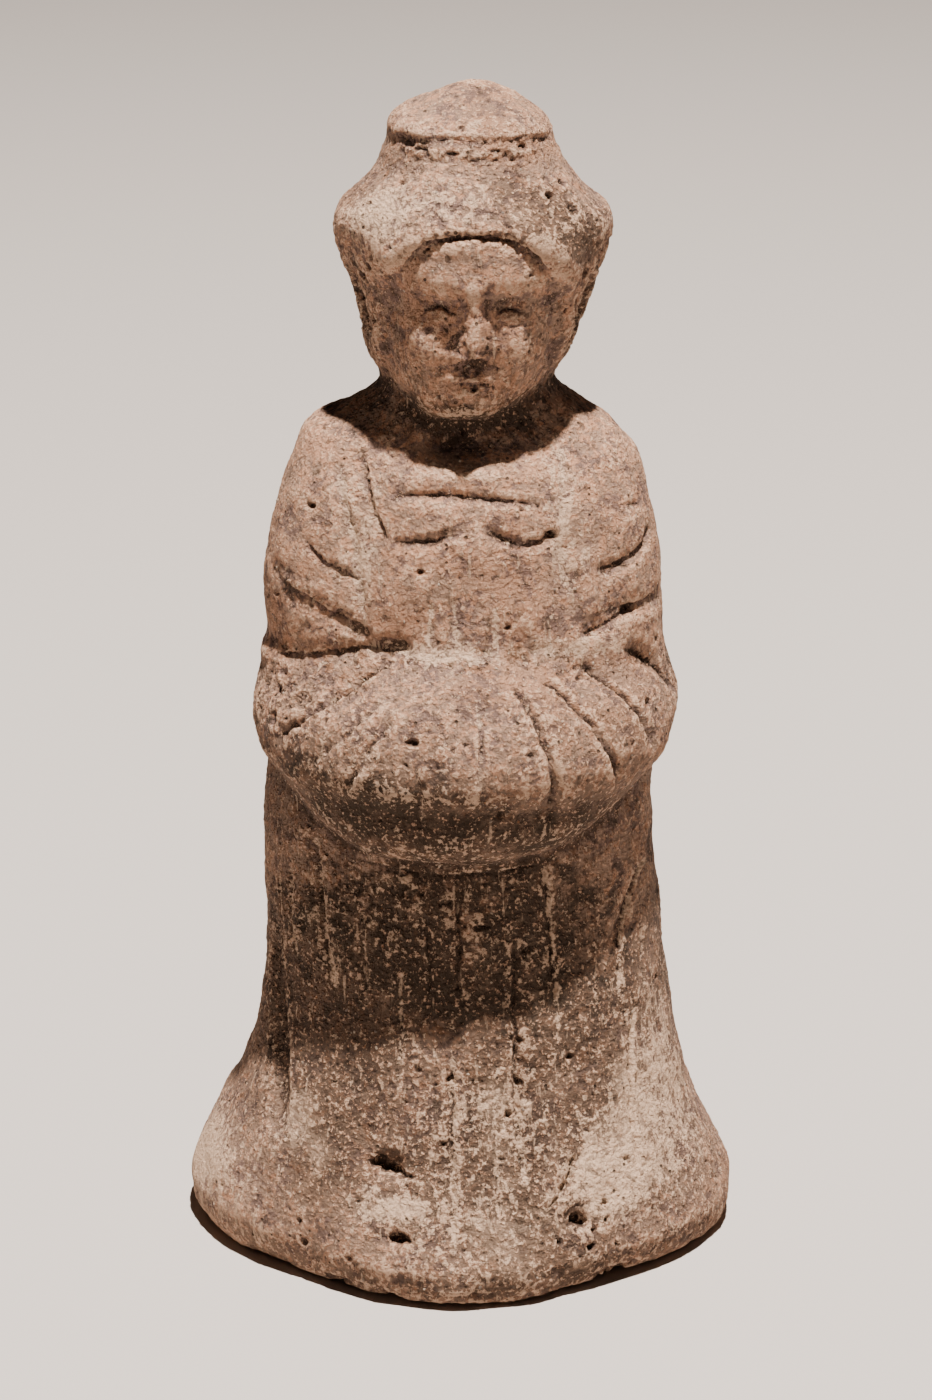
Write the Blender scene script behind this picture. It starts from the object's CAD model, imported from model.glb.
"""The looks of a standing clay attendant from a tomb, laid out as an add-on.

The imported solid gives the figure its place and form. Here it becomes a fine mesh. The clay is worn
and pitted by long burial, the drawn lines are pressed in again, sharper, and sand grains are set in.
Lengths are in metres. A place on the figure is given as degrees round from the front and a level
in thousandths of its height.
"""

import math

import bmesh
import bpy
import numpy as np
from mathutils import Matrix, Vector, noise
from mathutils.bvhtree import BVHTree
from mathutils.kdtree import KDTree


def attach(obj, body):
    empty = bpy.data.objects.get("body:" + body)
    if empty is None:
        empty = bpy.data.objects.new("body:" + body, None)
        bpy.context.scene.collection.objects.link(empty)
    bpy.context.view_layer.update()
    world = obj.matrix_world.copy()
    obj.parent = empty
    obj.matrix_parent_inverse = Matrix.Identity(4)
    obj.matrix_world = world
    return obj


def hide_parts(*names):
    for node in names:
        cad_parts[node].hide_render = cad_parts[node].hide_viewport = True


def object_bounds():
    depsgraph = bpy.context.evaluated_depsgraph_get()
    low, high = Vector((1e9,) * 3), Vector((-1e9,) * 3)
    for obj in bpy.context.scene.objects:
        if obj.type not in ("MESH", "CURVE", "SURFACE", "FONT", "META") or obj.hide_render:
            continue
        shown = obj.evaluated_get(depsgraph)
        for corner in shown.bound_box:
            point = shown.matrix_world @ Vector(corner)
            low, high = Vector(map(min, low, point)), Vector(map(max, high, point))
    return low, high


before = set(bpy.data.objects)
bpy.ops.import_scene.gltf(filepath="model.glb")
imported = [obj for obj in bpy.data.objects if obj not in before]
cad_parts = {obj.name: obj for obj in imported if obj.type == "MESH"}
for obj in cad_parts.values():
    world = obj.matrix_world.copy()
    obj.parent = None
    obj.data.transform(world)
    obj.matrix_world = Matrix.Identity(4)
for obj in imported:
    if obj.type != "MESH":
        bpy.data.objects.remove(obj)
CAD_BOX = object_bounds()

bl_info = {
    "name": "Clay attendant",
    "version": (1, 0, 0),
    "blender": (4, 5, 0),
    "location": "3D View > Sidebar > Clay attendant",
    "description": "A hand-modelled tomb attendant of fired clay, its sand grit and its stage",
    "category": "Object",
}

MM = 0.001
HEIGHT = CAD_BOX[1].z

# The fine mesh: how close the solid's doubles lie, the rounds of smoothing that take its facets
# away, and the rounds that take its steps away where they are wiped, down to the faintest weight
DOUBLES = 0.001 * MM
FACET_SMOOTHING = 22
STEP_WIPING = 260
FAINTEST = 0.01

# How far each level's middle stands to the side: level, side, in thousandths of the height
LEAN = (
    (0, -4), (50, -6), (130, -2), (189, 1), (264, -1), (373, -7), (428, -3), (520, 0), (591, -3),
    (661, -2), (688, -1), (713, -4), (730, 0), (751, 1), (772, 3), (822, 6), (893, 6), (915, 4),
    (961, 3), (1000, 4),
)

# Lines drawn with the stylus: three places along each, then its breadth and depth as multiples of
# one plain cut, a step, and what lies in it, from -1 for dark soil to 1 for pale mineral. The step
# is how far the clay stands prouder on the left of the line as it is drawn, or below 0 on its
# right, as a share of the cut's depth.
CHEST_LINES = (
    ((-60, 699), (-44, 628), (-39, 555), 1.6, 1.3, 0.2, 0.6),
    ((-53, 710), (-40, 661), (-32, 635), 0.9, 1.6, 0.5, -0.3),
    ((-38, 672), (-2, 674), (36, 665), 1.0, 1.0, 0.9, -0.2),
    ((-33, 638), (-14, 640), (6, 650), 0.9, 1.1, 0.9, -0.3),
    ((10, 650), (26, 636), (40, 645), 0.9, 1.1, 0.9, -0.3),
    ((53, 712), (42, 653), (42, 590), 1.5, 1.1, 0.2, 0.6),
    ((-13, 592), (-13, 571), (-13, 550), 0.7, 0.5, 0.0, 0.9),
    ((-3, 592), (-3, 571), (-2, 550), 0.7, 0.5, 0.0, 0.9),
    ((13, 586), (13, 568), (13, 550), 0.7, 0.5, 0.0, 0.9),
)
ARM_LINES = (
    ((-62, 635), (-51, 615), (-39, 603), 1.0, 1.2, 0.9, 0.2),
    ((-77, 604), (-54, 580), (-35, 557), 0.8, 0.9, 1.0, -0.3),
    ((-81, 518), (-50, 541), (-27, 549), 0.7, 1.0, 1.0, -0.4),
    ((-58, 462), (-41, 507), (-25, 542), 0.8, 1.8, -1.0, 0.1),
    ((77, 636), (64, 616), (50, 609), 0.8, 1.4, -0.9, -0.3),
    ((74, 656), (70, 655), (66, 657), 0.9, 0.9, -0.6, -0.3),
    ((80, 582), (60, 570), (42, 554), 0.7, 1.1, -1.0, -0.4),
    ((58, 541), (70, 520), (76, 490), 0.8, 1.5, 0.9, -0.4),
)
SLEEVE_LINES = (
    ((-23, 522), (-34, 482), (-46, 449), 1.0, 1.4, 0.9, 0.3),
    ((-19, 506), (-27, 467), (-31, 436), 1.0, 1.6, 0.8, 0.35),
    ((-12, 470), (-11, 440), (-12, 404), 0.8, 1.4, 0.6, 0.4),
    ((4, 525), (4, 480), (5, 430), 0.8, 1.4, -0.6, 0.35),
    ((14, 525), (21, 484), (25, 388), 0.9, 1.8, -1.0, -0.1),
    ((23, 527), (35, 495), (45, 420), 0.9, 2.0, -1.0, -0.1),
    ((41, 533), (51, 501), (59, 448), 0.9, 2.0, -1.0, -0.3),
)
SKIRT_LINES = (
    ((-71, 190), (-66, 150), (-60, 112), 1.3, 0.8, 0.2, -0.4),
    ((-70, 350), (-68, 300), (-66, 240), 0.9, 1.6, 0.4, 0.5),
    ((-62, 345), (-62, 301), (-59, 262), 1.1, 2.0, 0.4, 0.8),
    ((-51, 378), (-49, 319), (-43, 235), 1.0, 2.2, 0.5, 1.0),
    ((-35, 330), (-34, 290), (-33, 230), 0.8, 1.6, 0.3, 0.4),
    ((-22, 245), (-21, 217), (-21, 170), 0.9, 1.8, 0.3, 0.6),
    ((-12, 340), (-12, 280), (-12, 240), 0.7, 1.4, -0.3, -0.3),
    ((1, 352), (-1, 311), (-2, 250), 0.9, 2.0, -0.3, -0.7),
    ((-5, 205), (-3, 134), (-1, 50), 1.1, 2.2, 0.5, 1.0),
    ((8, 150), (9, 110), (9, 70), 0.8, 1.6, 0.3, 0.8),
    ((18, 310), (16, 240), (14, 160), 0.9, 2.2, -0.4, -0.4),
    ((15, 187), (16, 148), (17, 90), 1.0, 2.0, 0.4, 1.0),
    ((31, 360), (31, 320), (29, 195), 0.9, 2.0, 0.5, 0.9),
    ((31, 116), (27, 97), (20, 74), 1.2, 2.6, -0.9, 0.9),
    ((74, 338), (60, 312), (51, 225), 1.0, 2.2, 0.6, 0.8),
    ((58, 226), (51, 150), (48, 76), 1.2, 2.4, 0.5, 1.0),
    ((66, 300), (64, 240), (62, 180), 0.8, 1.4, 0.3, 0.4),
    ((-40, 368), (0, 357), (40, 368), 1.1, 1.6, 0.8, -0.9),
)
HAIR_LINES = (
    ((-85, 953), (0, 960), (85, 953), 1.3, 0.7, 0.3, -0.3),
    ((100, 784), (180, 768), (260, 784), 1.2, 1.0, 0.3, -0.6),
)

# Lines of the calm, plain face, drawn the same on both sides of its middle
FACE_LINES = (
    ((8, 823), (16, 831), (25, 824), 0.8, 1.7, 0.3, -0.6),
    ((10, 819), (17, 816), (24, 820), 0.6, 1.0, 0.0, -0.3),
    ((0, 768), (5, 768), (10, 766), 0.8, 1.4, 0.3, -0.4),
    ((6, 797), (9, 791), (8, 785), 0.4, 0.5, 0.0, -0.4),
)

# The arch of hair over the face: half width, level where it springs, rise above that; then where
# on the arch the line starts and how long it runs, in half turns; and its cut
HAIRLINE = (68, 800, 90)
HAIRLINE_SQUARENESS = 2.9
HAIRLINE_RUN = (0.16, 0.68)
HAIRLINE_CUT = (0.9, 1.5, -0.8, -0.5)

# Plain folds down the back: degrees round, and the levels, breadth, depth, step and fill of each
BACK_FOLDS = (104, 127, 150, 180, 210, 233, 256)
BACK_FOLD = (430, 250, 60, 2.0, 0.7, 0.2, -0.3)

# A drawn line: the places worked out along it, and the fixed seed of the way that it wanders
LINE_STEPS = 140
WANDER_SEED = 1

# Its section: what a full step takes from the reach of its proud wall and adds to that of its low
# wall, how sharp the groove is, the height, place and half width of its burr, and how high the
# proud side stands and how far off it ends
STEEP_WALL = 0.65
LONG_WALL = 1.6
GROOVE_SHARPNESS = 1.3
BURR = (0.15, 1.2, 0.3)
PROUD = 0.5
PROUD_REACH = 4

# Pits and chips of the clay: degrees round, level, breadth across, breadth up, depth, in mm
PITS = (
    (-23, 110, 4.8, 2.4, 1.5), (-20, 107, 4.6, 2.0, 1.4), (-16, 104, 5.0, 1.5, 0.9),
    (-14, 57, 4.4, 2.2, 1.7), (-38, 37, 2.4, 2.0, 1.4),
    (-5, 182, 1.9, 1.8, 1.6), (13, 152, 2.6, 1.5, 1.4), (-6, 130, 2.2, 1.2, 1.1),
    (16, 178, 1.8, 1.6, 1.2), (29, 63, 4.0, 3.2, 1.8), (31, 42, 3.6, 1.6, 1.4),
    (7, 311, 3.4, 1.3, 1.3), (22, 289, 2.2, 2.0, 1.3), (-16, 6, 4.0, 2.2, 1.2),
    (-15, 487, 4.0, 1.4, 1.2), (60, 495, 1.8, 1.8, 1.5), (17, 478, 2.4, 2.0, 0.7),
    (10, 424, 1.8, 2.4, 0.9), (-62, 658, 3.0, 1.0, 1.1), (-17, 613, 1.6, 1.4, 1.2),
    (17, 568, 1.6, 1.3, 1.2), (-47, 573, 4.6, 2.2, 0.9), (37, 641, 2.6, 2.0, 1.8),
    (62, 571, 5.0, 2.6, 1.6), (73, 537, 1.4, 1.6, 1.2), (-53, 500, 5.0, 4.0, 1.0),
    (-60, 482, 3.0, 3.0, 0.9), (4, 12, 9.0, 2.6, 0.8),
    (38, 10, 11.0, 4.0, 1.8), (-30, 8, 7.0, 2.6, 1.1), (120, 70, 4.0, 3.0, 2.0),
    (165, 210, 2.4, 3.4, 1.4), (205, 95, 5.0, 2.6, 1.8), (-120, 330, 2.6, 2.0, 1.3),
    (150, 560, 3.0, 2.0, 1.2), (200, 620, 2.4, 3.0, 1.1), (-140, 12, 9.0, 3.4, 1.6),
    (110, 10, 8.0, 3.0, 1.3), (176, 850, 3.0, 2.2, 1.2), (-80, 846, 3.0, 3.4, 1.4),
    (76, 826, 3.4, 4.0, 1.6), (-48, 868, 2.0, 2.0, 1.0), (64, 872, 2.2, 1.6, 1.0),
    (44, 916, 3.2, 1.8, 1.3), (52, 905, 2.6, 2.2, 1.3), (38, 902, 1.8, 1.4, 1.0),
    (57, 922, 2.6, 1.4, 1.0),
    (-60, 846, 3.0, 2.4, 1.5), (-66, 826, 2.6, 3.2, 1.6), (-57, 812, 2.2, 2.4, 1.2),
    (-72, 838, 3.2, 2.2, 1.4), (-64, 798, 2.0, 2.6, 1.2), (-52, 858, 2.4, 1.6, 1.1),
    (58, 850, 3.2, 2.2, 1.5), (66, 834, 2.6, 3.0, 1.6), (56, 826, 2.0, 2.0, 1.2),
    (72, 844, 3.4, 2.0, 1.5), (62, 808, 2.6, 3.4, 1.4), (68, 792, 2.2, 2.4, 1.2),
    (-34, 951, 3.4, 1.6, 1.1), (-12, 949, 2.6, 1.2, 0.9), (16, 951, 3.0, 1.4, 1.0),
    (38, 953, 2.6, 1.6, 1.1),
    (72, 815, 9.0, 22.0, 2.2), (-76, 824, 8.0, 18.0, 1.8), (84, 860, 6.0, 9.0, 1.4),
)

# Where the solid's plain steps are wiped away, as degrees round, level, half width in degrees,
# half height and strength: beside the face, round the foot of the bun and at the elbows
WIPED = (
    (-42, 812, 12, 44, 1.0), (42, 812, 12, 44, 1.0), (0, 934, 400, 8, 1.0), (-66, 530, 24, 14, 1.0),
    (-62, 586, 16, 14, 0.9), (66, 572, 16, 12, 0.9),
)

# Low swells and hollows of the clay: degrees round, level, half width in degrees, half height,
# and how far out in mm
SWELLS = (
    (0, 938, 400, 12, 1.6), (0, 688, 26, 6, 1.1), (1, 788, 7, 10, -1.5),
    (-73, 518, 17, 12, 2.2), (0, 712, 26, 11, -1.8), (0, 860, 40, 34, 1.5),
    (0, 882, 30, 10, 1.1), (-33, 864, 12, 20, 1.6), (33, 864, 12, 20, 1.6), (-72, 812, 12, 40, -1.2),
    (72, 812, 12, 40, -1.4), (0, 420, 56, 18, -2.2), (-60, 592, 12, 6, 0.5),
    (64, 560, 14, 6, 0.6),
)

# Broad patches, as degrees round, level, half width in degrees, half height and strength. ROUGH is
# where burial has eaten the surface, DEPOSIT where lime has crusted it, STAIN where damp soil has
# darkened it, and FILM where a thin brown film dulls it.
ROUGH = (
    (-78, 820, 26, 44, 1.0), (80, 820, 26, 50, 1.0), (0, 785, 30, 40, 0.35), (-60, 498, 16, 20, 0.9),
    (-70, 240, 26, 90, 0.35), (0, 180, 60, 90, 0.35), (30, 60, 40, 50, 0.4), (-20, 330, 40, 50, 0.5),
    (0, 600, 30, 50, 0.2), (40, 250, 26, 60, 0.2), (160, 200, 50, 120, 0.5), (200, 830, 60, 60, 0.5),
    (-140, 560, 40, 90, 0.4), (0, 950, 80, 8, 0.7), (0, 890, 46, 10, 0.6), (0, 910, 100, 26, 0.15),
    (0, 500, 60, 60, 0.25), (48, 912, 16, 16, 0.5),
)
DEPOSIT = (
    (-78, 62, 18, 36, 1.0), (-18, 80, 11, 16, 0.7), (1, 62, 14, 42, 0.40), (38, 92, 13, 34, 1.0),
    (64, 140, 20, 80, 0.75), (8, 160, 20, 40, 0.5), (-50, 130, 10, 30, 0.5), (-46, 898, 20, 26, 0.9),
    (-6, 915, 26, 16, 0.5), (-25, 962, 20, 12, 0.4), (-10, 546, 26, 9, 0.8), (46, 546, 20, 11, 0.7),
    (-42, 630, 8, 70, 0.6), (43, 650, 8, 60, 0.55), (0, 690, 34, 10, 0.3), (-45, 20, 20, 18, 0.3),
    (150, 110, 30, 60, 0.8), (205, 320, 22, 60, 0.5), (-150, 620, 26, 60, 0.5), (175, 905, 40, 20, 0.6),
    (110, 420, 16, 60, 0.5),
)
STAIN = (
    (-24, 310, 38, 64, 1.0), (20, 325, 38, 56, 1.0), (4, 262, 40, 36, 0.8), (-72, 240, 18, 90, 0.45),
    (0, 733, 80, 20, 1.0), (-80, 800, 24, 40, 0.7), (80, 800, 24, 44, 0.8),
    (-26, 444, 26, 26, 0.8), (4, 408, 46, 24, 0.8), (-66, 170, 8, 50, 0.4), (50, 20, 30, 20, 0.3),
    (-2, 770, 24, 22, 0.15), (84, 505, 14, 30, 0.5), (-62, 590, 14, 16, 0.4), (62, 575, 14, 12, 0.4),
    (-34, 200, 16, 30, 0.15), (26, 200, 20, 30, 0.35), (0, 890, 40, 6, 0.35),
    (50, 910, 14, 14, 0.35), (0, 949, 70, 6, 0.45), (180, 745, 70, 26, 0.8),
    (-165, 240, 34, 90, 0.5), (150, 470, 30, 60, 0.4), (-95, 400, 16, 60, 0.5), (95, 300, 16, 90, 0.5),
)
FILM = (
    (0, 130, 60, 110, 0.95), (0, 250, 80, 60, 0.5), (0, 410, 62, 46, 1.0), (40, 250, 24, 80, 0.4),
    (40, 90, 40, 60, 0.25), (0, 16, 90, 18, 0.5), (-60, 300, 30, 160, 0.5), (80, 240, 24, 160, 0.4),
    (0, 600, 180, 70, 0.15), (0, 490, 180, 40, 0.35), (0, 905, 180, 34, 0.45), (50, 885, 24, 26, 0.7),
    (20, 925, 20, 10, 0.3), (0, 980, 180, 22, 0.3),
    (80, 820, 30, 50, 0.6), (-80, 820, 30, 44, 0.5), (180, 200, 90, 160, 0.5), (180, 740, 60, 40, 0.5),
)
PATCHES = {"rough": ROUGH, "deposit": DEPOSIT, "stain": STAIN, "film": FILM}

# The worn surface: how far a wave's lowest places stand out and its highest ones sink, as shares of
# its depth; how deep the clay is eaten and how thick the pores stand, each as what a rough patch
# adds to the plain clay; and how ragged a pore's rim is
WAVE_RANGE = (0.3, -0.7)
EATEN = (1.6, 0.12)
CROWDING = (1.8, 0.4)
RAGGED_RIM = 1.2 * MM

# Sand grains: the share of its radius that each is sunk, the most that it is turned, the slimmest
# and the widest shape, and the fixed seeds of what is random in them
GRAIN_SUNK = 0.45
MOST_TURNED = (6.28, 6.28, 6.28)
GRAIN_SHAPES = ((0.7, 0.7, 0.5), (1.4, 1.1, 0.9))
GRIT_SEEDS = {"size": 11, "turn": 12, "stretch": 13, "tone": 14}

# The stage: the way the lamp's light falls, its tint and the room's, the floor's breadth, the
# camera's sensor in mm and how near it sees
LAMP_TOWARDS = (-0.065, 0.17, -1)
LAMP_TINT = (1.0, 0.94, 0.88)
ROOM_TINT = (1.0, 0.97, 0.94)
FLOOR_BREADTH = 12
SENSOR_WIDTH = 36
NEAREST_SEEN = 0.01


def linear(hex_colour):
    """A colour from sRGB hex, as the renderer's linear numbers."""
    parts = [int(hex_colour[i : i + 2], 16) / 255 for i in (0, 2, 4)]
    return tuple(c / 12.92 if c <= 0.04045 else ((c + 0.055) / 1.055) ** 2.4 for c in parts)


class ClaySettings(bpy.types.PropertyGroup):
    """Sizes and colours of the fired clay."""

    voxel: bpy.props.FloatProperty(
        name="Voxel", description="Grain of the fine mesh", default=0.5 * MM, unit="LENGTH"
    )
    triangles: bpy.props.IntProperty(
        name="Triangles", description="Triangles kept in the finished mesh", default=196000
    )
    stylus_width: bpy.props.FloatProperty(
        name="Stylus width", description="Breadth of a plain cut", default=1.5 * MM, unit="LENGTH"
    )
    cut_depth: bpy.props.FloatProperty(
        name="Cut depth", description="Depth of a plain cut", default=0.38 * MM, unit="LENGTH"
    )
    unevenness: bpy.props.FloatProperty(
        name="Unevenness", description="Dents left by the maker's hands", default=1.5 * MM, unit="LENGTH"
    )
    roughness: bpy.props.FloatProperty(
        name="Roughness", description="Depth of the eaten surface", default=0.8 * MM, unit="LENGTH"
    )
    grain: bpy.props.FloatProperty(
        name="Grain", description="Depth of the sandy surface", default=0.35 * MM, unit="LENGTH"
    )
    pores: bpy.props.FloatProperty(
        name="Pores", description="Pores in a square metre", default=15000.0
    )
    pore_radius: bpy.props.FloatProperty(
        name="Pore radius", description="Radius of the largest pore", default=0.85 * MM, unit="LENGTH"
    )
    seed: bpy.props.IntProperty(name="Seed", description="Seed of the pores", default=7)
    body: bpy.props.FloatVectorProperty(
        name="Body", description="Fired clay", subtype="COLOR", size=3, default=linear("9a7c68")
    )
    buff: bpy.props.FloatVectorProperty(
        name="Buff", description="Worn high places", subtype="COLOR", size=3, default=linear("c49172")
    )
    violet: bpy.props.FloatVectorProperty(
        name="Violet", description="Overfired patches", subtype="COLOR", size=3, default=linear("775e56")
    )
    ochre: bpy.props.FloatVectorProperty(
        name="Ochre", description="Iron in the clay", subtype="COLOR", size=3, default=linear("a8693c")
    )
    soil: bpy.props.FloatVectorProperty(
        name="Soil", description="Soil in hollows", subtype="COLOR", size=3, default=linear("3d2e23")
    )
    damp: bpy.props.FloatVectorProperty(
        name="Damp", description="Dark damp stain", subtype="COLOR", size=3, default=linear("3c3125")
    )
    lime: bpy.props.FloatVectorProperty(
        name="Lime", description="Pale crust of lime", subtype="COLOR", size=3, default=linear("dcb99c")
    )


class GritSettings(bpy.types.PropertyGroup):
    """Sizes and colours of the sand grains that stand out of the clay."""

    grains: bpy.props.FloatProperty(
        name="Grains", description="Grains in a square metre", default=36000.0
    )
    smallest: bpy.props.FloatProperty(
        name="Smallest", description="Radius of the smallest grain", default=0.16 * MM, unit="LENGTH"
    )
    largest: bpy.props.FloatProperty(
        name="Largest", description="Radius of the largest grain", default=0.5 * MM, unit="LENGTH"
    )
    seed: bpy.props.IntProperty(name="Seed", description="Seed of the grains", default=3)
    dark: bpy.props.FloatVectorProperty(
        name="Dark", description="Darkest grains", subtype="COLOR", size=3, default=linear("5d4d42")
    )
    pale: bpy.props.FloatVectorProperty(
        name="Pale", description="Palest grains", subtype="COLOR", size=3, default=linear("a8937f")
    )


class StageSettings(bpy.types.PropertyGroup):
    """The floor, the lights and the camera."""

    floor: bpy.props.FloatVectorProperty(
        name="Floor", description="Plain pale floor", subtype="COLOR", size=3, default=linear("b7afa9")
    )
    key: bpy.props.FloatProperty(
        name="Key light", description="Watts of the lamp overhead", default=262.0
    )
    lamp_distance: bpy.props.FloatProperty(
        name="Lamp distance", description="Lamp to the figure", default=2.5, unit="LENGTH"
    )
    lamp_size: bpy.props.FloatProperty(
        name="Lamp size", description="Breadth of the round lamp", default=0.07, unit="LENGTH"
    )
    fill: bpy.props.FloatProperty(
        name="Fill light", description="Strength of the light all round", default=0.018
    )
    distance: bpy.props.FloatProperty(
        name="Distance", description="Camera to the figure", default=0.805, unit="LENGTH"
    )
    elevation: bpy.props.FloatProperty(
        name="Elevation", description="Camera above level", default=math.radians(19), unit="ROTATION"
    )
    aim: bpy.props.FloatProperty(
        name="Aim", description="Height that the camera looks at", default=0.1117, unit="LENGTH"
    )
    lens: bpy.props.FloatProperty(name="Lens", description="Focal length in mm", default=101.0)


def share(thousandths):
    """A length from its thousandths of the height."""
    return np.asarray(thousandths, float) * HEIGHT / 1000


def eased(low, high, at):
    """0 below low, 1 above high, and a smooth step between."""
    t = np.clip((at - low) / (high - low), 0, 1)
    return t * t * (3 - 2 * t)


def bell(offset, half_width):
    """1 in the middle, fading smoothly to nothing."""
    return np.exp(-((offset / half_width) ** 2))


def middle(level):
    """How far the figure's middle stands to the side at a level."""
    levels, sides = np.array(LEAN, float).T
    return share(np.interp(level, levels, sides))


def round_and_level(points):
    """Degrees round from the front and level of each point."""
    level = points[:, 2] / HEIGHT * 1000
    degrees = np.degrees(np.arctan2(points[:, 0] - middle(level), -points[:, 1]))
    return degrees, level


def patches(points, table):
    """How strongly a table of broad patches lies on each point."""
    degrees, level = round_and_level(points)
    weight = np.zeros(len(points))
    for at, height, half_width, half_height, strength in table:
        away = (degrees - at + 180) % 360 - 180
        weight += strength * bell(away, half_width) * bell(level - height, half_height)
    return np.clip(weight, 0, 1)


def points_of(mesh):
    """The mesh's points as rows."""
    flat = np.zeros(len(mesh.vertices) * 3, np.float32)
    mesh.vertices.foreach_get("co", flat)
    return flat.reshape(-1, 3).astype(float)


def normals_of(mesh):
    """The mesh's normals at its points, as rows."""
    flat = np.zeros(len(mesh.vertices) * 3, np.float32)
    mesh.vertex_normals.foreach_get("vector", flat)
    return flat.reshape(-1, 3).astype(float)


def move_points(mesh, points):
    """Puts the mesh's points in place, with nothing under the seat."""
    points[:, 2] = np.maximum(points[:, 2], 0)
    mesh.vertices.foreach_set("co", points.astype(np.float32).ravel())
    mesh.update()


def keep(mesh, name, values):
    """Keeps one number for each point, for the nodes to read."""
    held = mesh.attributes.get(name) or mesh.attributes.new(name, "FLOAT", "POINT")
    held.data.foreach_set("value", np.ascontiguousarray(values, np.float32))


def linked(name, mesh):
    """A new object of that mesh, in the scene."""
    made = bpy.data.objects.new(name, mesh)
    bpy.context.scene.collection.objects.link(made)
    return made


def settled(piece):
    """Turns a piece's modifiers into its plain mesh."""
    seen = piece.evaluated_get(bpy.context.evaluated_depsgraph_get())
    plain = bpy.data.meshes.new_from_object(seen)
    piece.modifiers.clear()
    piece.data = plain
    return plain


def add(tree, kind, inputs=None, **settings):
    """Adds a node with its settings, and fills or links its inputs."""
    made = tree.nodes.new(kind)
    for name, value in settings.items():
        setattr(made, name, value)
    for name, value in (inputs or {}).items():
        if isinstance(value, bpy.types.NodeSocket):
            tree.links.new(value, made.inputs[name])
        else:
            made.inputs[name].default_value = value
    return made


def clay_blank(voxel):
    """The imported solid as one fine, even mesh, its flat facets smoothed away."""
    solid = bmesh.new()
    solid.from_mesh(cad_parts["figurine"].data)
    bmesh.ops.remove_doubles(solid, verts=solid.verts, dist=DOUBLES)
    mesh = bpy.data.meshes.new("clay_figurine")
    solid.to_mesh(mesh)
    solid.free()
    piece = linked("clay_figurine", mesh)
    fine = piece.modifiers.new("Fine mesh", "REMESH")
    fine.mode = "VOXEL"
    fine.voxel_size = voxel
    smooth = piece.modifiers.new("No facets", "SMOOTH")
    smooth.factor = 0.5
    smooth.iterations = FACET_SMOOTHING
    settled(piece)
    wiped = piece.vertex_groups.new(name="wiped")
    for i, weight in enumerate(patches(points_of(piece.data), WIPED)):
        if weight > FAINTEST:
            wiped.add([i], weight, "REPLACE")
    wipe = piece.modifiers.new("Wiped steps", "SMOOTH")
    wipe.factor = 0.5
    wipe.iterations = STEP_WIPING
    wipe.vertex_group = wiped.name
    settled(piece)
    return piece


def on_surface(tree, degrees, level):
    """The place on the clay at those degrees round and that level."""
    angle = math.radians(degrees)
    inwards = Vector((-math.sin(angle), math.cos(angle), 0))
    axis = Vector((float(middle(level)), 0, float(share(level))))
    return tree.ray_cast(axis - inwards * HEIGHT, inwards)[0]


def in_front(tree, side, level):
    """The place on the clay straight behind a point of the front view."""
    start = Vector((float(middle(level) + share(side)), -HEIGHT, float(share(level))))
    return tree.ray_cast(start, Vector((0, 1, 0)))[0]


def bowed(start, halfway, end, t):
    """A bowed line through three places, at a share of its length."""
    start, halfway, end = np.array((start, halfway, end), float)
    return (1 - t) * (1 - 2 * t) * start + 4 * t * (1 - t) * halfway + t * (2 * t - 1) * end


def hairline_places(t):
    """The arch of the hairline over the brow: side and level at a share of its length."""
    half_width, spring, rise = HAIRLINE
    start, run = HAIRLINE_RUN
    turn = (start + run * t) * math.pi
    power = 2 / HAIRLINE_SQUARENESS
    side = math.copysign(abs(math.cos(turn)) ** power, math.cos(turn))
    return half_width * side, spring + rise * math.sin(turn) ** power


def mirrored(line, side):
    """A line of the face, kept for a side of 1 and turned over for -1."""
    return [(side * degrees, level) for degrees, level in line[:3]] + list(line[3:])


def drawn_paths(tree):
    """Every drawn line as its places on the clay, with its breadth, depth, step and fill."""
    top, halfway, bottom, *fold = BACK_FOLD
    back = [((d, top), (d, halfway), (d, bottom), *fold) for d in BACK_FOLDS]
    face = [mirrored(line, side) for line in FACE_LINES for side in (-1, 1)]
    lines = (*CHEST_LINES, *ARM_LINES, *SLEEVE_LINES, *SKIRT_LINES, *HAIR_LINES, *face, *back)
    shares = np.linspace(0, 1, LINE_STEPS)
    for start, middle_place, end, *cut in lines:
        places = [bowed(start, middle_place, end, t) for t in shares]
        yield [on_surface(tree, *place) for place in places], cut
    yield [in_front(tree, *hairline_places(t)) for t in shares], HAIRLINE_CUT


def wave(place, size):
    """Smooth noise, mostly between -1 and 1, with waves of that size in mm."""
    return noise.noise(place / (size * MM))


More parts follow.
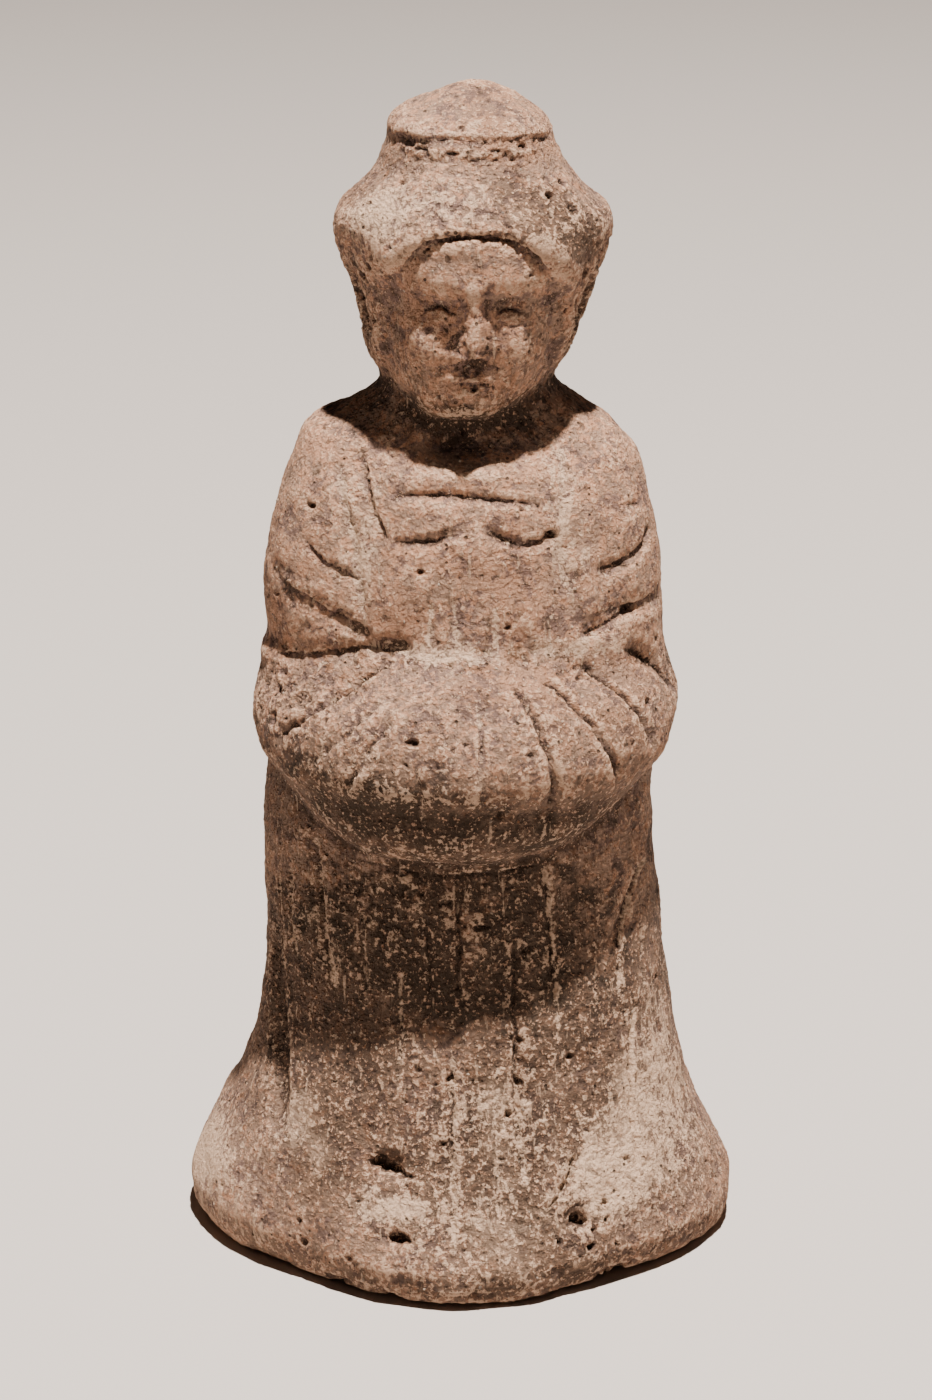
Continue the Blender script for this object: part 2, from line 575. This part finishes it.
def line_rows(tree):
    """The drawn lines' places in short steps: place, way, breadth, depth, step and fill of each."""
    noise.seed_set(WANDER_SEED)
    rows = []
    for path, (breadth, depth, step, fill) in drawn_paths(tree):
        path = [p for p in path if p is not None]
        for i, p in enumerate(path):
            along = path[min(i + 1, len(path) - 1)] - path[max(i - 1, 0)]
            end = min(i, len(path) - 1 - i) / len(path)
            uneven = wave(p, 4) + 0.7 * wave(p, 1.6)
            strength = eased(0, 0.2, end) * (1 + 0.9 * uneven)
            widened = breadth * (1 + 0.7 * noise.noise(p / (3 * MM) + Vector((9, 0, 0))))
            slow, quick = (noise.noise_vector(p / (size * MM)) for size in (6, 2))
            wander = (slow * 0.6 + quick * 0.35) * MM
            lies = fill * eased(0, 0.1, end) * (0.95 + 0.6 * wave(p, 2.5))
            rows.append((*(p + wander), *along.normalized(), widened, depth * strength, step, lies))
    return np.array(rows)


def nearest_rows(rows, points):
    """The row of the drawn lines that is nearest to each point, and how far off it is."""
    finder = KDTree(len(rows))
    for i, row in enumerate(rows):
        finder.insert(row[:3], i)
    finder.balance()
    found = [finder.find(p) for p in points]
    return rows[[hit[1] for hit in found]], np.array([hit[2] for hit in found])


def press_lines(piece, normals, settings):
    """Presses the drawn lines into the fine mesh: a sharp groove, a low burr and a step across it."""
    mesh = piece.data
    rows = line_rows(BVHTree.FromObject(piece, bpy.context.evaluated_depsgraph_get()))
    points = points_of(mesh)
    nearest, distance = nearest_rows(rows, points)
    away = points - nearest[:, :3]
    across = np.cross(normals, nearest[:, 3:6])
    side = np.sign(np.einsum("ij,ij->i", across, away))
    half = nearest[:, 6] * settings.stylus_width / 2
    depth = nearest[:, 7] * settings.cut_depth
    reach = distance / half
    tilt = nearest[:, 8] * side
    wall = np.where(tilt > 0, 1 - STEEP_WALL * tilt, 1 - LONG_WALL * tilt)
    groove = -depth * (1 - np.minimum(reach / wall, 1)) ** GROOVE_SHARPNESS
    height, place, half_width = BURR
    burr = height * depth * bell(reach - place, half_width)
    fading = 1 - eased(0.6, PROUD_REACH, reach)
    proud = np.maximum(tilt, 0) * depth * PROUD * eased(0, 0.4, reach) * fading
    move_points(mesh, points + normals * (groove + burr + proud)[:, None])
    return rows


def raise_swells(piece, normals):
    """Lays low swells of clay on the fine mesh."""
    points = points_of(piece.data)
    degrees, level = round_and_level(points)
    out = np.zeros(len(points))
    for at, height, half_width, half_height, rise in SWELLS:
        away = (degrees - at + 180) % 360 - 180
        out += rise * MM * bell(away, half_width) * bell(level - height, half_height)
    move_points(piece.data, points + normals * out[:, None])


def press_pits(piece, normals):
    """Breaks the named pits and chips out of the clay, with ragged edges."""
    mesh = piece.data
    tree = BVHTree.FromObject(piece, bpy.context.evaluated_depsgraph_get())
    points = points_of(mesh)
    depth = np.zeros(len(points))
    for degrees, level, across, up, deep in PITS:
        centre = on_surface(tree, degrees, level)
        angle = math.radians(degrees)
        sideways = np.array((math.cos(angle), math.sin(angle), 0))
        close = np.linalg.norm(points - centre, axis=1) < across * MM
        away = points[close] - centre
        ragged = [0.6 * wave(Vector(p), 1.6) for p in points[close]]
        reach = np.hypot(away @ sideways / (across * MM / 2), away[:, 2] / (up * MM / 2)) + ragged
        depth[close] = np.maximum(depth[close], deep * MM * (1 - eased(0.3, 1.1, reach)))
    move_points(mesh, points - normals * depth[:, None])


def new_tree(name, sizes):
    """A tree of geometry nodes with inputs for a mesh, the named sizes, a seed and a material."""
    tree = bpy.data.node_groups.new(name, "GeometryNodeTree")
    sockets = tree.interface
    sockets.new_socket("Geometry", in_out="INPUT", socket_type="NodeSocketGeometry")
    for size in sizes:
        sockets.new_socket(size, in_out="INPUT", socket_type="NodeSocketFloat")
    sockets.new_socket("Seed", in_out="INPUT", socket_type="NodeSocketInt")
    sockets.new_socket("Material", in_out="INPUT", socket_type="NodeSocketMaterial")
    sockets.new_socket("Geometry", in_out="OUTPUT", socket_type="NodeSocketGeometry")
    return tree, add(tree, "NodeGroupInput").outputs


def finish_tree(tree, geometry, material):
    """Ends a tree with a real mesh of that material."""
    real = add(tree, "GeometryNodeRealizeInstances", {"Geometry": geometry}).outputs[0]
    done = add(tree, "GeometryNodeSetMaterial", {"Geometry": real, "Material": material}).outputs[0]
    add(tree, "NodeGroupOutput", {"Geometry": done})
    return tree


def weathering_tree():
    """Geometry nodes that wear the clay: hand dents, eaten patches, sandy grain and pores."""
    sizes = ("Unevenness", "Roughness", "Grain", "Pores", "Pore Radius")
    tree, given = new_tree("Weathered clay", sizes)
    here = add(tree, "GeometryNodeInputPosition").outputs[0]
    kept = {"Name": "rough"}
    rough = add(tree, "GeometryNodeInputNamedAttribute", kept, data_type="FLOAT").outputs[0]
    depth = {0: rough, 1: EATEN[0], 2: EATEN[1]}
    eaten = add(tree, "ShaderNodeMath", depth, operation="MULTIPLY_ADD").outputs[0]
    highest, lowest = WAVE_RANGE
    heights = []
    # Waves in the clay: the input, breadth in mm, detail, low and high value, and weight of each
    for name, size, detail, low, high, weight in (
        ("Unevenness", 15, 1, 0.2, 0.8, 1.0),
        ("Unevenness", 5, 3, -0.6, 1.6, 1.0),
        ("Roughness", 3.0, 5, 0.48, 0.76, eaten),
        ("Roughness", 1.7, 4, 0.56, 0.74, eaten),
        ("Grain", 1.1, 2, 0.2, 0.8, 1.0),
    ):
        pattern = {"Vector": here, "Scale": 1 / (size * MM), "Detail": float(detail), "Roughness": 0.6}
        waves = add(tree, "ShaderNodeTexNoise", pattern).outputs[0]
        span = {"Value": waves, "From Min": low, "From Max": high, "To Min": highest, "To Max": lowest}
        level = add(tree, "ShaderNodeMapRange", span).outputs[0]
        scaled = add(tree, "ShaderNodeMath", {0: level, 1: given[name]}, operation="MULTIPLY").outputs[0]
        weighed = add(tree, "ShaderNodeMath", {0: scaled, 1: weight}, operation="MULTIPLY").outputs[0]
        heights.append(weighed)
    thickness = {0: rough, 1: CROWDING[0], 2: CROWDING[1]}
    crowding = add(tree, "ShaderNodeMath", thickness, operation="MULTIPLY_ADD").outputs[0]
    together = {0: crowding, 1: given["Pores"]}
    density = add(tree, "ShaderNodeMath", together, operation="MULTIPLY").outputs[0]
    spread = {"Mesh": given["Geometry"], "Density": density, "Seed": given["Seed"]}
    pores = add(tree, "GeometryNodeDistributePointsOnFaces", spread).outputs["Points"]
    near = add(tree, "GeometryNodeSampleNearest", {"Geometry": pores}).outputs[0]
    centre = add(
        tree, "GeometryNodeSampleIndex", {"Geometry": pores, "Value": here, "Index": near},
        data_type="FLOAT_VECTOR",
    ).outputs[0]
    chance = add(tree, "FunctionNodeRandomValue", {"Seed": given["Seed"]}).outputs[1]
    small = add(tree, "ShaderNodeMath", {0: chance, 1: 2.2}, operation="POWER").outputs[0]
    size = add(
        tree, "ShaderNodeMapRange", {"Value": small, "To Min": 0.3, "To Max": 1.0}
    ).outputs[0]
    sampled = add(
        tree, "GeometryNodeSampleIndex", {"Geometry": pores, "Value": size, "Index": near},
        data_type="FLOAT",
    ).outputs[0]
    largest = given["Pore Radius"]
    radius = add(tree, "ShaderNodeMath", {0: sampled, 1: largest}, operation="MULTIPLY").outputs[0]
    bend = add(tree, "ShaderNodeTexNoise", {"Vector": here, "Scale": 1 / (1.1 * MM)}).outputs["Color"]
    bent = {0: bend, 1: (RAGGED_RIM,) * 3, 2: here}
    ragged = add(tree, "ShaderNodeVectorMath", bent, operation="MULTIPLY_ADD").outputs[0]
    centred = {0: ragged, 1: (RAGGED_RIM / 2,) * 3}
    moved = add(tree, "ShaderNodeVectorMath", centred, operation="SUBTRACT").outputs[0]
    between = {0: moved, 1: centre}
    away = add(tree, "ShaderNodeVectorMath", between, operation="DISTANCE").outputs["Value"]
    reach = add(tree, "ShaderNodeMath", {0: away, 1: radius}, operation="DIVIDE").outputs[0]
    bowl = {"Value": reach, "From Min": 0.3, "From Max": 1.0, "To Min": -1.1, "To Max": 0.0}
    hole = add(tree, "ShaderNodeMapRange", bowl, interpolation_type="SMOOTHSTEP").outputs[0]
    heights.append(add(tree, "ShaderNodeMath", {0: hole, 1: radius}, operation="MULTIPLY").outputs[0])
    total = heights[0]
    for more in heights[1:]:
        total = add(tree, "ShaderNodeMath", {0: total, 1: more}, operation="ADD").outputs[0]
    normal = add(tree, "GeometryNodeInputNormal").outputs[0]
    push = add(tree, "ShaderNodeVectorMath", {0: normal, "Scale": total}, operation="SCALE").outputs[0]
    moves = {"Geometry": given["Geometry"], "Offset": push}
    worn = add(tree, "GeometryNodeSetPosition", moves).outputs[0]
    return finish_tree(tree, worn, given["Material"])


def grit_tree():
    """Geometry nodes that set angular sand grains half sunk in the clay."""
    tree, given = new_tree("Sand grit", ("Grains", "Smallest", "Largest"))
    spread = {"Mesh": given["Geometry"], "Density": given["Grains"], "Seed": given["Seed"]}
    spots = add(tree, "GeometryNodeDistributePointsOnFaces", spread).outputs
    chance = add(tree, "FunctionNodeRandomValue", {"Seed": GRIT_SEEDS["size"]}).outputs[1]
    small = add(tree, "ShaderNodeMath", {0: chance, 1: 3.0}, operation="POWER").outputs[0]
    sizes = {"Value": small, "To Min": given["Smallest"], "To Max": given["Largest"]}
    size = add(tree, "ShaderNodeMapRange", sizes).outputs[0]
    sink = add(tree, "ShaderNodeMath", {0: size, 1: -GRAIN_SUNK}, operation="MULTIPLY").outputs[0]
    inwards = {0: spots["Normal"], "Scale": sink}
    push = add(tree, "ShaderNodeVectorMath", inwards, operation="SCALE").outputs[0]
    sunk = add(tree, "GeometryNodeSetPosition", {"Geometry": spots["Points"], "Offset": push}).outputs[0]
    grain = add(tree, "GeometryNodeMeshIcoSphere", {"Radius": 1.0, "Subdivisions": 1}).outputs[0]
    turns = {0: (0, 0, 0), 1: MOST_TURNED, "Seed": GRIT_SEEDS["turn"]}
    turn = add(tree, "FunctionNodeRandomValue", turns, data_type="FLOAT_VECTOR").outputs[0]
    shapes = {0: GRAIN_SHAPES[0], 1: GRAIN_SHAPES[1], "Seed": GRIT_SEEDS["stretch"]}
    stretch = add(tree, "FunctionNodeRandomValue", shapes, data_type="FLOAT_VECTOR").outputs[0]
    scale = add(tree, "ShaderNodeVectorMath", {0: stretch, "Scale": size}, operation="SCALE").outputs[0]
    set_in = {"Points": sunk, "Instance": grain, "Rotation": turn, "Scale": scale}
    grains = add(tree, "GeometryNodeInstanceOnPoints", set_in).outputs[0]
    tone = add(tree, "FunctionNodeRandomValue", {"Seed": GRIT_SEEDS["tone"]}).outputs[1]
    toned = add(
        tree, "GeometryNodeStoreNamedAttribute", {"Geometry": grains, "Name": "tone", "Value": tone},
        data_type="FLOAT", domain="INSTANCE",
    ).outputs[0]
    return finish_tree(tree, toned, given["Material"])


def apply_nodes(piece, tree, **values):
    """Runs a piece's mesh through geometry nodes, with inputs set by their names."""
    modifier = piece.modifiers.new(tree.name, "NODES")
    modifier.node_group = tree
    for item in tree.interface.items_tree:
        if item.in_out == "INPUT" and item.name in values:
            modifier[item.identifier] = values[item.name]
    return settled(piece)


def blurred(values, edges, rounds):
    """Each point's value averaged with its neighbours', a number of times over."""
    count = len(values)
    ends = np.concatenate([edges, edges[:, ::-1]])
    neighbours = np.bincount(ends[:, 0], minlength=count)
    for _ in range(rounds):
        totals = [np.bincount(ends[:, 0], weights=v[ends[:, 1]], minlength=count) for v in values.T]
        values = (values + np.stack(totals, axis=1)) / (neighbours + 1)[:, None]
    return values


def keep_hollows(mesh):
    """Keeps how hollow the surface is at each point, closely and broadly, and how it faces."""
    points, normals = points_of(mesh), normals_of(mesh)
    flat = np.zeros(len(mesh.edges) * 2, np.int32)
    mesh.edges.foreach_get("vertices", flat)
    edges = flat.reshape(-1, 2)
    for name, rounds, size in (("hollow", 4, 0.26 * MM), ("valley", 50, 1.2 * MM)):
        lifted = blurred(points, edges, rounds) - points
        keep(mesh, name, np.clip(np.einsum("ij,ij->i", lifted, normals) / size, -1, 1))
    keep(mesh, "upward", normals[:, 2])


def keep_fills(mesh, rows, width):
    """Keeps where pale mineral and dark soil lie in the drawn lines."""
    nearest, distance = nearest_rows(rows, points_of(mesh))
    lying = 1 - eased(0.3, 1.3, distance / (nearest[:, 6] * width / 2))
    keep(mesh, "pale_fill", lying * np.maximum(nearest[:, 9], 0))
    keep(mesh, "dark_fill", lying * np.maximum(-nearest[:, 9], 0))


def fired_earthenware(settings):
    """Low-fired earthenware, modelled by hand and long buried: dry, sandy and quite matt.

    Each layer is a colour laid where a pattern, plus a share of something kept on the mesh,
    passes from a low to a high value. The patterns' breadths are in mm. Silt and fine sand, a
    tenth of a millimetre across, are drawn as specks and cells of 0.8 and 0.9 mm, so that they show.
    """
    material = bpy.data.materials.new("fired_earthenware")
    material.use_nodes = True
    tree = material.node_tree
    shader = tree.nodes["Principled BSDF"]
    here = add(tree, "ShaderNodeTexCoord").outputs["Object"]
    long_ways = add(tree, "ShaderNodeMapping", {"Vector": here, "Scale": (1, 1, 0.12)}).outputs[0]
    patterns = {}
    for name, at, size, detail, rough, bend in (
        ("cloud", here, 19, 3.0, 0.55, 0.4),
        ("patch", here, 6, 6.0, 0.66, 0.3),
        ("blotch", here, 3.4, 4.0, 0.62, 0.6),
        ("mottle", here, 1.8, 5.0, 0.68, 0.0),
        ("speck", here, 0.8, 3.0, 0.65, 0.0),
        ("streak", long_ways, 1.6, 4.0, 0.6, 0.0),
    ):
        waves = {"Vector": at, "Scale": 1 / (size * MM), "Detail": detail, "Roughness": rough}
        waves["Distortion"] = bend
        patterns[name] = add(tree, "ShaderNodeTexNoise", waves).outputs[0]
    cells = add(tree, "ShaderNodeTexVoronoi", {"Vector": here, "Scale": 1 / (0.9 * MM)})
    patterns["sand"] = add(tree, "ShaderNodeSeparateColor", {0: cells.outputs["Color"]}).outputs[0]
    for name, size in (("pinhole", 2.0), ("fleck", 1.4), ("iron", 3.4)):
        spots = add(tree, "ShaderNodeTexVoronoi", {"Vector": here, "Scale": 1 / (size * MM)}).outputs
        chance = add(tree, "ShaderNodeSeparateColor", {0: spots["Color"]}).outputs[0]
        far = {0: chance, 1: 0.4, 2: spots["Distance"]}
        patterns[name] = add(tree, "ShaderNodeMath", far, operation="MULTIPLY_ADD").outputs[0]
    held = {
        name: add(tree, "ShaderNodeAttribute", attribute_name=name).outputs["Fac"]
        for name in (*PATCHES, "hollow", "valley", "upward", "pale_fill", "dark_fill")
    }
    body, buff, violet, ochre, soil, damp, lime = (
        (*colour, 1)
        for colour in (
            settings.body, settings.buff, settings.violet, settings.ochre,
            settings.soil, settings.damp, settings.lime,
        )
    )
    colour = body
    # Each layer's colour, its pattern, what is kept and the share of that, low and high, strength
    for layer, pattern, kept, gain, low, high, strength in (
        (buff, "cloud", "film", -0.25, 0.44, 0.60, 0.65),
        (violet, "patch", "rough", 0.02, 0.50, 0.58, 0.80),
        (ochre, "blotch", "valley", 0.10, 0.57, 0.66, 0.45),
        (buff, "blotch", "film", -0.15, 0.52, 0.60, 0.75),
        (soil, "streak", "upward", -0.08, 0.54, 0.66, 0.50),
        (buff, "mottle", "hollow", -0.25, 0.55, 0.63, 0.70),
        (violet, "mottle", "hollow", 0.20, 0.57, 0.65, 0.75),
        (soil, "cloud", "film", 0.60, 0.50, 1.20, 0.80),
        (lime, "mottle", "film", 0.02, 0.61, 0.67, 0.40),
        (ochre, "speck", "film", 0.04, 0.62, 0.68, 0.40),
        (damp, "patch", "stain", 0.24, 0.58, 0.76, 0.80),
        (soil, "mottle", "stain", 0.18, 0.59, 0.70, 0.75),
        (soil, "blotch", "valley", 0.25, 0.62, 0.78, 0.65),
        (soil, "speck", "hollow", 0.35, 0.70, 0.84, 0.85),
        (soil, "speck", "dark_fill", 0.50, 0.70, 0.95, 0.80),
        (lime, "cloud", "deposit", 0.34, 0.64, 0.86, 0.50),
        (lime, "streak", "deposit", 0.24, 0.62, 0.72, 0.60),
        (lime, "mottle", "deposit", 0.24, 0.62, 0.68, 0.75),
        (lime, "speck", "hollow", -0.30, 0.66, 0.76, 0.60),
        (lime, "speck", "pale_fill", 0.44, 0.56, 0.76, 0.80),
        (buff, "speck", "upward", 0.02, 0.59, 0.65, 0.40),
        (soil, "sand", "rough", 0.06, 0.965, 0.985, 0.50),
        (lime, "fleck", "rough", -0.04, 0.18, 0.10, 0.40),
        (ochre, "iron", "rough", 0.0, 0.12, 0.06, 0.45),
        (soil, "pinhole", "rough", -0.10, 0.23, 0.15, 0.85),
    ):
        sum_of = {0: held[kept], 1: gain, 2: patterns[pattern]}
        lifted = add(tree, "ShaderNodeMath", sum_of, operation="MULTIPLY_ADD").outputs[0]
        there = add(
            tree, "ShaderNodeMapRange",
            {"Value": lifted, "From Min": low, "From Max": high, "To Max": strength},
            interpolation_type="SMOOTHSTEP",
        ).outputs[0]
        colour = add(tree, "ShaderNodeMix", {0: there, 6: colour, 7: layer}, data_type="RGBA").outputs[2]
    tree.links.new(colour, shader.inputs["Base Color"])
    shader.inputs["Roughness"].default_value = 0.93
    shader.inputs["IOR"].default_value = 1.45
    shader.inputs["Specular IOR Level"].default_value = 0.25
    hole = {"Value": patterns["pinhole"], "From Min": 0.08, "From Max": 0.22}
    normal = None
    # Bumps and their heights in mm, below 0 for a hollow
    for pattern, high in (
        (patterns["mottle"], 1.4), (patterns["speck"], 1.2), (patterns["streak"], 0.4),
        (cells.outputs["Distance"], -0.3), (add(tree, "ShaderNodeMapRange", hole).outputs[0], 0.3),
    ):
        inputs = {"Height": pattern, "Distance": abs(high) * MM, "Strength": 1.0}
        if normal is not None:
            inputs["Normal"] = normal
        normal = add(tree, "ShaderNodeBump", inputs, invert=high < 0).outputs[0]
    tree.links.new(normal, shader.inputs["Normal"])
    return material


def quartz_grit(settings):
    """Grains of quartz and crushed stone in the clay: a little brighter and harder than it."""
    material = bpy.data.materials.new("quartz_grit")
    material.use_nodes = True
    tree = material.node_tree
    shader = tree.nodes["Principled BSDF"]
    tone = add(tree, "ShaderNodeAttribute", attribute_name="tone").outputs["Fac"]
    colours = {0: tone, 6: (*settings.dark, 1), 7: (*settings.pale, 1)}
    colour = add(tree, "ShaderNodeMix", colours, data_type="RGBA").outputs[2]
    tree.links.new(colour, shader.inputs["Base Color"])
    shader.inputs["Roughness"].default_value = 0.75
    shader.inputs["IOR"].default_value = 1.54
    return material


class OBJECT_OT_clay_figurine(bpy.types.Operator):
    """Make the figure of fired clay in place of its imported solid"""

    bl_idname = "object.clay_figurine"
    bl_label = "Clay figurine"

    def execute(self, context):
        settings = context.scene.clay_settings
        piece = clay_blank(settings.voxel)
        normals = normals_of(piece.data)
        keep(piece.data, "rough", patches(points_of(piece.data), ROUGH))
        material = fired_earthenware(settings)
        apply_nodes(
            piece, weathering_tree(), Unevenness=settings.unevenness, Roughness=settings.roughness,
            Grain=settings.grain, Pores=settings.pores, Seed=settings.seed, Material=material,
            **{"Pore Radius": settings.pore_radius},
        )
        raise_swells(piece, normals)
        lines = press_lines(piece, normals, settings)
        press_pits(piece, normals)
        fewer = piece.modifiers.new("Fewer triangles", "DECIMATE")
        fewer.ratio = settings.triangles / (2 * len(piece.data.polygons))
        mesh = settled(piece)
        mesh.shade_smooth()
        points = points_of(mesh)
        keep_hollows(mesh)
        keep_fills(mesh, lines, settings.stylus_width)
        for name, table in PATCHES.items():
            keep(mesh, name, patches(points, table))
        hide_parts("figurine")
        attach(piece, "root")
        return {"FINISHED"}


class OBJECT_OT_sand_grit(bpy.types.Operator):
    """Set sand grains in the surface of the clay"""

    bl_idname = "object.sand_grit"
    bl_label = "Sand grit"

    def execute(self, context):
        settings = context.scene.grit_settings
        piece = linked("sand_grit", context.scene.objects["clay_figurine"].data.copy())
        apply_nodes(
            piece, grit_tree(), Grains=settings.grains, Smallest=settings.smallest,
            Largest=settings.largest, Seed=settings.seed, Material=quartz_grit(settings),
        )
        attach(piece, "root")
        return {"FINISHED"}


class OBJECT_OT_studio_stage(bpy.types.Operator):
    """Lay the floor, hang the lights and stand the camera"""

    bl_idname = "object.studio_stage"
    bl_label = "Studio stage"

    def execute(self, context):
        settings = context.scene.stage_settings
        scene = context.scene
        bpy.ops.mesh.primitive_plane_add(size=FLOOR_BREADTH)
        floor = context.object
        floor.name = "studio_floor"
        # Matt card takes the shadow softly and shows no gloss
        card = bpy.data.materials.new("matt_card")
        card.use_nodes = True
        shader = card.node_tree.nodes["Principled BSDF"]
        shader.inputs["Base Color"].default_value = (*settings.floor, 1)
        shader.inputs["Roughness"].default_value = 0.9
        floor.data.materials.append(card)
        world = bpy.data.worlds.new("soft_room")
        world.use_nodes = True
        background = world.node_tree.nodes["Background"]
        background.inputs["Color"].default_value = (*ROOM_TINT, 1)
        background.inputs["Strength"].default_value = settings.fill
        scene.world = world
        overhead = bpy.data.lights.new("overhead", "AREA")
        overhead.energy = settings.key
        overhead.shape = "DISK"
        overhead.size = settings.lamp_size
        overhead.color = LAMP_TINT
        lamp = bpy.data.objects.new("overhead", overhead)
        scene.collection.objects.link(lamp)
        towards = Vector(LAMP_TOWARDS).normalized()
        lamp.location = Vector((0, 0, HEIGHT / 2)) - towards * settings.lamp_distance
        lamp.rotation_euler = towards.to_track_quat("-Z", "Y").to_euler()
        lens = bpy.data.cameras.new("camera")
        lens.lens = settings.lens
        lens.sensor_width = SENSOR_WIDTH
        lens.clip_start = NEAREST_SEEN
        camera = bpy.data.objects.new("camera", lens)
        scene.collection.objects.link(camera)
        back = Vector((0, -math.cos(settings.elevation), math.sin(settings.elevation)))
        camera.location = Vector((0, 0, settings.aim)) + back * settings.distance
        camera.rotation_euler = (-back).to_track_quat("-Z", "Y").to_euler()
        scene.camera = camera
        return {"FINISHED"}


class VIEW3D_PT_clay_attendant(bpy.types.Panel):
    """The operators and their settings"""

    bl_label = "Clay attendant"
    bl_space_type = "VIEW_3D"
    bl_region_type = "UI"
    bl_category = "Clay attendant"

    def draw(self, context):
        for operator, group in STEPS:
            self.layout.operator(operator.bl_idname)
            settings = getattr(context.scene, group)
            for name in type(settings).__annotations__:
                self.layout.prop(settings, name)


STEPS = (
    (OBJECT_OT_clay_figurine, "clay_settings"),
    (OBJECT_OT_sand_grit, "grit_settings"),
    (OBJECT_OT_studio_stage, "stage_settings"),
)
GROUPS = (ClaySettings, GritSettings, StageSettings)
CLASSES = (*GROUPS, *(operator for operator, _ in STEPS), VIEW3D_PT_clay_attendant)


def register():
    for kind in CLASSES:
        bpy.utils.register_class(kind)
    for (_, name), group in zip(STEPS, GROUPS):
        setattr(bpy.types.Scene, name, bpy.props.PointerProperty(type=group))


def unregister():
    for _, name in STEPS:
        delattr(bpy.types.Scene, name)
    for kind in reversed(CLASSES):
        bpy.utils.unregister_class(kind)


def main():
    """Makes every piece and the stage."""
    register()
    bpy.ops.object.clay_figurine()
    bpy.ops.object.sand_grit()
    bpy.ops.object.studio_stage()


if __name__ == "__main__":
    main()
